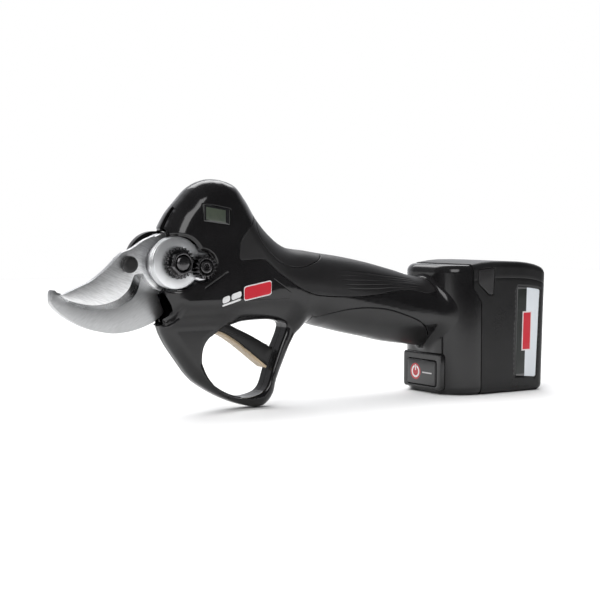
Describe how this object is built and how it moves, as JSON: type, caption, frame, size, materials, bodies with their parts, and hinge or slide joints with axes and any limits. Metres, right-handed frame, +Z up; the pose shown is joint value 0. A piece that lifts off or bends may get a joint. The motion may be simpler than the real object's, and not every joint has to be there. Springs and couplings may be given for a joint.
{
  "type": "battery electric pruner",
  "caption": "Hand-held electric pruner: hooked counter blade, geared moving blade, pistol-shaped housing with trigger guard, and a slide-off battery at the heel.",
  "frame": {"origin": "middle of the bounding box on the surface it stands on", "axes": "+X from the blade tip back to the battery, -Y the left side with the pivot nut and display, +Z up"},
  "size_m": [0.3222, 0.0606, 0.1302],
  "materials": {
    "gloss_plastic": "moulded, glossy black",
    "satin_plastic": "moulded, satin black",
    "soft_grip": "moulded soft grip, fine grain",
    "blade_steel": "ground steel, polished bevel",
    "dark_steel": "blackened steel",
    "aluminium": "machined, bright",
    "rubber": "moulded rubber",
    "display": "clear window over a grey-green display",
    "board": "circuit board",
    "cell_wrap": "shrink-wrapped cells",
    "copper": "copper alloy",
    "cream": "moulded, satin tan",
    "label": "printed film"
  },
  "bodies": {
    "frame": {"housing_left": "gloss_plastic", "housing_right": "gloss_plastic", "battery_holder": "gloss_plastic", "head_block_right": "satin_plastic", "motor_end_cap": "satin_plastic", "trigger_switch": "satin_plastic", "button_bezel": "satin_plastic", "terminal_block": "satin_plastic", "overmould_left": "soft_grip", "overmould_right": "soft_grip", "thumb_rest": "soft_grip", "palm_pad_left": "soft_grip", "palm_pad_right": "soft_grip", "counter_blade": "blade_steel", "counter_blade_screw_1": "dark_steel", "counter_blade_screw_2": "dark_steel", "pivot_bolt": "dark_steel", "lock_nut": "dark_steel", "lock_pinion": "dark_steel", "lock_screw": "dark_steel", "output_bearing": "dark_steel", "ring_gear": "dark_steel", "motor_can": "dark_steel", "trigger_pin": "dark_steel", "trigger_spring": "dark_steel", "housing_screw_top": "dark_steel", "housing_screw_front": "dark_steel", "housing_screw_rear": "dark_steel", "head_block_left": "aluminium", "gearbox_flange": "aluminium", "display_lens": "display", "display_module": "board", "motor_controller": "board", "switch_board": "board", "pivot_bush": "copper", "motor_winding": "copper"},
    "blade": {"moving_blade": "blade_steel", "blade_gear_sector": "dark_steel", "drive_pin_1": "dark_steel", "drive_pin_2": "dark_steel", "stop_pin": "dark_steel", "stop_bumper_left": "rubber", "stop_bumper_right": "rubber"},
    "output_shaft": {"bevel_pinion": "dark_steel", "planet_carrier": "dark_steel"},
    "planet_1": {"planet_gear_1": "dark_steel"},
    "planet_2": {"planet_gear_2": "dark_steel"},
    "planet_3": {"planet_gear_3": "dark_steel"},
    "rotor": {"rotor_shaft": "dark_steel"},
    "trigger_lever": {"trigger": "satin_plastic", "trigger_facing": "cream"},
    "switch_button": {"power_button": "satin_plastic"},
    "battery": {"battery_case": "satin_plastic", "battery_front_plate": "satin_plastic", "cell_pack": "cell_wrap", "battery_board": "board", "battery_contacts": "copper", "label_plate": "label"},
    "release_left": {"release_button_left": "soft_grip"},
    "release_right": {"release_button_right": "soft_grip"}
  },
  "joints": [
    {"name": "blade_pivot", "type": "hinge", "parent": "frame", "child": "blade", "pos_m": [-0.09445, 0, 0.0842], "axis": [0, 1, 0], "range_deg": [0, 50]},
    {"name": "output_spin", "type": "hinge", "parent": "frame", "child": "output_shaft", "pos_m": [-0.06497, 0, 0.07863], "axis": [0.9826, 0, -0.1857], "range_deg": [0, 222.3]},
    {"name": "planet_1_spin", "type": "hinge", "parent": "output_shaft", "child": "planet_1", "pos_m": [-0.05121, 0.00743, 0.07603], "axis": [0.9826, 0, -0.1857], "range_deg": [-622.4, 0]},
    {"name": "planet_2_spin", "type": "hinge", "parent": "output_shaft", "child": "planet_2", "pos_m": [-0.05002, -0.00371, 0.08235], "axis": [0.9826, 0, -0.1857], "range_deg": [-622.4, 0]},
    {"name": "planet_3_spin", "type": "hinge", "parent": "output_shaft", "child": "planet_3", "pos_m": [-0.05241, -0.00371, 0.06971], "axis": [0.9826, 0, -0.1857], "range_deg": [-622.4, 0]},
    {"name": "rotor_spin", "type": "hinge", "parent": "frame", "child": "rotor", "pos_m": [-0.01584, 0, 0.06935], "axis": [0.9826, 0, -0.1857], "range_deg": [0, 1000.2]},
    {"name": "trigger_pull", "type": "hinge", "parent": "frame", "child": "trigger_lever", "pos_m": [-0.07445, 0, 0.0505], "axis": [0, -1, 0], "range_deg": [0, 16], "stiffness_Nm_per_rad": 0.1, "springref_deg": -11.46},
    {"name": "switch_press", "type": "slide", "parent": "frame", "child": "switch_button", "axis": [1, 0, 0], "range_m": [0, 0.0012], "stiffness_N_per_m": 800, "springref_m": -0.001},
    {"name": "battery_slide", "type": "slide", "parent": "frame", "child": "battery", "axis": [1, 0, 0], "range_m": [0, 0.05]},
    {"name": "release_left_press", "type": "slide", "parent": "battery", "child": "release_left", "axis": [0, 1, 0], "range_m": [0, 0.002], "stiffness_N_per_m": 600, "springref_m": -0.001},
    {"name": "release_right_press", "type": "slide", "parent": "battery", "child": "release_right", "axis": [0, -1, 0], "range_m": [0, 0.002], "stiffness_N_per_m": 600, "springref_m": -0.001}
  ],
  "couplings": [
    {"joint": "output_spin", "follows": "blade_pivot", "ratio": 4.4444},
    {"joint": "planet_1_spin", "follows": "blade_pivot", "ratio": -12.444},
    {"joint": "planet_2_spin", "follows": "blade_pivot", "ratio": -12.444},
    {"joint": "planet_3_spin", "follows": "blade_pivot", "ratio": -12.444},
    {"joint": "rotor_spin", "follows": "blade_pivot", "ratio": 20}
  ]
}
